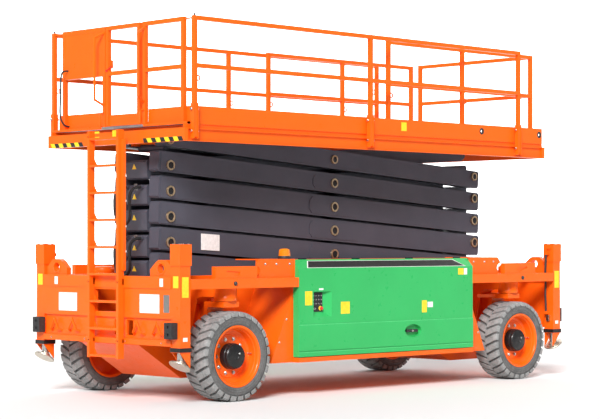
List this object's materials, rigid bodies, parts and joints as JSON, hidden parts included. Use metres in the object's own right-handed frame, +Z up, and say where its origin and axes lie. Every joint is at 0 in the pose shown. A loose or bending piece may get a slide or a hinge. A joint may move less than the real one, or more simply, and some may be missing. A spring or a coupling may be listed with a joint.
{
  "type": "rough-terrain scissor lift",
  "caption": "Large four-wheel-steer scissor lift, stowed, with twelve-arm stack, sliding platform extension, guard rails, rear ladder, corner jacks and hinged side covers.",
  "frame": {"origin": "on the floor under the middle of the machine's bounding box", "axes": "+X towards the platform extension's end, +Y to the left, +Z up"},
  "size_m": [6.52, 2.58, 4.0649],
  "materials": {
    "orange_paint": "orange gloss enamel on steel",
    "green_paint": "bright green powder coat on sheet steel",
    "arm_paint": "dark grey satin paint on steel",
    "deck_plate": "bare tread plate",
    "black_rubber": "moulded black rubber",
    "tyre_rubber": "grey non-marking tyre rubber",
    "bright_steel": "chromed rod and bare steel",
    "black_paint": "black paint on steel",
    "beacon_lens": "amber moulded lens",
    "box_plastic": "dark moulded plastic"
  },
  "bodies": {
    "chassis": {"main_frame": "orange_paint", "roller_tracks": "bright_steel", "belly_pan": "orange_paint", "axle_arms": "orange_paint", "end_frames": "orange_paint", "jack_posts": "orange_paint", "post_hoses": "black_rubber", "buffers": "black_rubber", "side_beams": "orange_paint", "equipment_boxes": "orange_paint", "ladder": "orange_paint", "power_units": "black_paint", "beacon": "beacon_lens"},
    "left_cover": {"left_cover": "green_paint"},
    "right_cover": {"right_cover": "green_paint"},
    "rear_right_steering": {"rear_right_knuckle": "orange_paint"},
    "rear_right_wheel": {"rear_right_tyre": "tyre_rubber", "rear_right_rim": "orange_paint"},
    "rear_right_jack": {"rear_right_jack_leg": "bright_steel"},
    "rear_left_steering": {"rear_left_knuckle": "orange_paint"},
    "rear_left_wheel": {"rear_left_tyre": "tyre_rubber", "rear_left_rim": "orange_paint"},
    "rear_left_jack": {"rear_left_jack_leg": "bright_steel"},
    "front_right_steering": {"front_right_knuckle": "orange_paint"},
    "front_right_wheel": {"front_right_tyre": "tyre_rubber", "front_right_rim": "orange_paint"},
    "front_right_jack": {"front_right_jack_leg": "bright_steel"},
    "front_left_steering": {"front_left_knuckle": "orange_paint"},
    "front_left_wheel": {"front_left_tyre": "tyre_rubber", "front_left_rim": "orange_paint"},
    "front_left_jack": {"front_left_jack_leg": "bright_steel"},
    "inner_arm_1": {"inner_arm_1": "arm_paint"},
    "outer_arm_1": {"outer_arm_1": "arm_paint"},
    "inner_arm_2": {"inner_arm_2": "arm_paint"},
    "outer_arm_2": {"outer_arm_2": "arm_paint"},
    "inner_arm_3": {"inner_arm_3": "arm_paint", "lower_arm_hoses": "black_rubber"},
    "outer_arm_3": {"outer_arm_3": "arm_paint"},
    "inner_arm_4": {"inner_arm_4": "arm_paint"},
    "outer_arm_4": {"outer_arm_4": "arm_paint"},
    "inner_arm_5": {"inner_arm_5": "arm_paint", "upper_arm_hoses": "black_rubber"},
    "outer_arm_5": {"outer_arm_5": "arm_paint"},
    "inner_arm_6": {"inner_arm_6": "arm_paint"},
    "outer_arm_6": {"outer_arm_6": "arm_paint"},
    "platform": {"platform_frame": "orange_paint", "platform_deck": "deck_plate", "toe_boards": "orange_paint", "rail_brackets": "orange_paint", "rear_rail": "orange_paint", "side_rails": "orange_paint", "control_box": "box_plastic", "control_cable": "black_rubber"},
    "gate": {"gate": "orange_paint"},
    "extension": {"extension_deck": "orange_paint", "extension_rails": "orange_paint"},
    "lift_barrel_1": {"lift_barrel_1": "black_paint"},
    "lift_rod_1": {"lift_rod_1": "bright_steel"},
    "lift_barrel_2": {"lift_barrel_2": "black_paint"},
    "lift_rod_2": {"lift_rod_2": "bright_steel"}
  },
  "joints": [
    {"name": "left_cover_hinge", "type": "hinge", "parent": "chassis", "child": "left_cover", "pos_m": [0, 1.13, 1.505], "axis": [1, 0, 0], "range_deg": [0, 75]},
    {"name": "right_cover_hinge", "type": "hinge", "parent": "chassis", "child": "right_cover", "pos_m": [0, -1.13, 1.505], "axis": [-1, 0, 0], "range_deg": [0, 75]},
    {"name": "rear_right_kingpin", "type": "hinge", "parent": "chassis", "child": "rear_right_steering", "pos_m": [-2.37, -1.05, 1.2], "axis": [0, 0, 1], "range_deg": [-30, 30]},
    {"name": "rear_right_wheel_spin", "type": "hinge", "parent": "rear_right_steering", "child": "rear_right_wheel", "pos_m": [-2.37, -1.0725, 0.48], "axis": [0, 1, 0], "continuous": true},
    {"name": "rear_right_jack_slide", "type": "slide", "parent": "chassis", "child": "rear_right_jack", "axis": [0, 0, -1], "range_m": [0, 0.5]},
    {"name": "rear_left_kingpin", "type": "hinge", "parent": "chassis", "child": "rear_left_steering", "pos_m": [-2.37, 1.05, 1.2], "axis": [0, 0, 1], "range_deg": [-30, 30]},
    {"name": "rear_left_wheel_spin", "type": "hinge", "parent": "rear_left_steering", "child": "rear_left_wheel", "pos_m": [-2.37, 1.0725, 0.48], "axis": [0, 1, 0], "continuous": true},
    {"name": "rear_left_jack_slide", "type": "slide", "parent": "chassis", "child": "rear_left_jack", "axis": [0, 0, -1], "range_m": [0, 0.5]},
    {"name": "front_right_kingpin", "type": "hinge", "parent": "chassis", "child": "front_right_steering", "pos_m": [2.37, -1.05, 1.2], "axis": [0, 0, 1], "range_deg": [-30, 30]},
    {"name": "front_right_wheel_spin", "type": "hinge", "parent": "front_right_steering", "child": "front_right_wheel", "pos_m": [2.37, -1.0725, 0.48], "axis": [0, 1, 0], "continuous": true},
    {"name": "front_right_jack_slide", "type": "slide", "parent": "chassis", "child": "front_right_jack", "axis": [0, 0, -1], "range_m": [0, 0.5]},
    {"name": "front_left_kingpin", "type": "hinge", "parent": "chassis", "child": "front_left_steering", "pos_m": [2.37, 1.05, 1.2], "axis": [0, 0, 1], "range_deg": [-30, 30]},
    {"name": "front_left_wheel_spin", "type": "hinge", "parent": "front_left_steering", "child": "front_left_wheel", "pos_m": [2.37, 1.0725, 0.48], "axis": [0, 1, 0], "continuous": true},
    {"name": "front_left_jack_slide", "type": "slide", "parent": "chassis", "child": "front_left_jack", "axis": [0, 0, -1], "range_m": [0, 0.5]},
    {"name": "lift", "type": "hinge", "parent": "chassis", "child": "inner_arm_1", "pos_m": [-2.58, 0, 1.135], "axis": [0, -1, 0], "range_deg": [0, 64.85]},
    {"name": "outer_arm_1_turn", "type": "hinge", "parent": "inner_arm_1", "child": "outer_arm_1", "pos_m": [-0.04, 0, 1.275], "axis": [0, -1, 0], "range_deg": [-129.7, 0]},
    {"name": "inner_arm_2_turn", "type": "hinge", "parent": "outer_arm_1", "child": "inner_arm_2", "pos_m": [-2.58, 0, 1.415], "axis": [0, -1, 0], "range_deg": [0, 129.7]},
    {"name": "outer_arm_2_turn", "type": "hinge", "parent": "inner_arm_2", "child": "outer_arm_2", "pos_m": [-0.04, 0, 1.555], "axis": [0, -1, 0], "range_deg": [-129.7, 0]},
    {"name": "inner_arm_3_turn", "type": "hinge", "parent": "outer_arm_2", "child": "inner_arm_3", "pos_m": [-2.58, 0, 1.695], "axis": [0, -1, 0], "range_deg": [0, 129.7]},
    {"name": "outer_arm_3_turn", "type": "hinge", "parent": "inner_arm_3", "child": "outer_arm_3", "pos_m": [-0.04, 0, 1.835], "axis": [0, -1, 0], "range_deg": [-129.7, 0]},
    {"name": "inner_arm_4_turn", "type": "hinge", "parent": "outer_arm_3", "child": "inner_arm_4", "pos_m": [-2.58, 0, 1.975], "axis": [0, -1, 0], "range_deg": [0, 129.7]},
    {"name": "outer_arm_4_turn", "type": "hinge", "parent": "inner_arm_4", "child": "outer_arm_4", "pos_m": [-0.04, 0, 2.115], "axis": [0, -1, 0], "range_deg": [-129.7, 0]},
    {"name": "inner_arm_5_turn", "type": "hinge", "parent": "outer_arm_4", "child": "inner_arm_5", "pos_m": [-2.58, 0, 2.255], "axis": [0, -1, 0], "range_deg": [0, 129.7]},
    {"name": "outer_arm_5_turn", "type": "hinge", "parent": "inner_arm_5", "child": "outer_arm_5", "pos_m": [-0.04, 0, 2.395], "axis": [0, -1, 0], "range_deg": [-129.7, 0]},
    {"name": "inner_arm_6_turn", "type": "hinge", "parent": "outer_arm_5", "child": "inner_arm_6", "pos_m": [-2.58, 0, 2.535], "axis": [0, -1, 0], "range_deg": [0, 129.7]},
    {"name": "outer_arm_6_turn", "type": "hinge", "parent": "inner_arm_6", "child": "outer_arm_6", "pos_m": [-0.04, 0, 2.675], "axis": [0, -1, 0], "range_deg": [-129.7, 0]},
    {"name": "platform_turn", "type": "hinge", "parent": "outer_arm_6", "child": "platform", "pos_m": [-2.58, 0, 2.815], "axis": [0, -1, 0], "range_deg": [0, 64.85]},
    {"name": "gate_hinge", "type": "hinge", "parent": "platform", "child": "gate", "pos_m": [-2.95, -0.3115, 3.5], "axis": [0, 0, -1], "range_deg": [0, 90]},
    {"name": "extension_slide", "type": "slide", "parent": "platform", "child": "extension", "axis": [1, 0, 0], "range_m": [0, 2.1]},
    {"name": "lift_barrel_1_turn", "type": "hinge", "parent": "inner_arm_1", "child": "lift_barrel_1", "pos_m": [0.90856, 0, 1.32728], "axis": [0, -1, 0], "range_deg": [-136.04, 0]},
    {"name": "lift_rod_1_slide", "type": "slide", "parent": "lift_barrel_1", "child": "lift_rod_1", "axis": [-0.9958, 0, 0.0921], "range_m": [0, 1.1359]},
    {"name": "lift_barrel_2_turn", "type": "hinge", "parent": "inner_arm_4", "child": "lift_barrel_2", "pos_m": [0.90856, 0, 2.16728], "axis": [0, -1, 0], "range_deg": [-136.04, 0]},
    {"name": "lift_rod_2_slide", "type": "slide", "parent": "lift_barrel_2", "child": "lift_rod_2", "axis": [-0.9958, 0, 0.0921], "range_m": [0, 1.1359]}
  ],
  "couplings": [
    {"joint": "front_right_kingpin", "follows": "front_left_kingpin", "ratio": 1},
    {"joint": "rear_left_kingpin", "follows": "front_left_kingpin", "ratio": -1},
    {"joint": "rear_right_kingpin", "follows": "front_left_kingpin", "ratio": -1},
    {"joint": "outer_arm_1_turn", "follows": "lift", "ratio": -2},
    {"joint": "outer_arm_2_turn", "follows": "lift", "ratio": -2},
    {"joint": "inner_arm_2_turn", "follows": "lift", "ratio": 2},
    {"joint": "outer_arm_3_turn", "follows": "lift", "ratio": -2},
    {"joint": "inner_arm_3_turn", "follows": "lift", "ratio": 2},
    {"joint": "outer_arm_4_turn", "follows": "lift", "ratio": -2},
    {"joint": "inner_arm_4_turn", "follows": "lift", "ratio": 2},
    {"joint": "outer_arm_5_turn", "follows": "lift", "ratio": -2},
    {"joint": "inner_arm_5_turn", "follows": "lift", "ratio": 2},
    {"joint": "outer_arm_6_turn", "follows": "lift", "ratio": -2},
    {"joint": "inner_arm_6_turn", "follows": "lift", "ratio": 2},
    {"joint": "platform_turn", "follows": "lift", "ratio": 1},
    {"joint": "lift_barrel_1_turn", "follows": "lift", "ratio": -2.0976},
    {"joint": "lift_rod_1_slide", "follows": "lift", "m_per_rad": 1.0027},
    {"joint": "lift_barrel_2_turn", "follows": "lift", "ratio": -2.0976},
    {"joint": "lift_rod_2_slide", "follows": "lift", "m_per_rad": 1.0027}
  ]
}
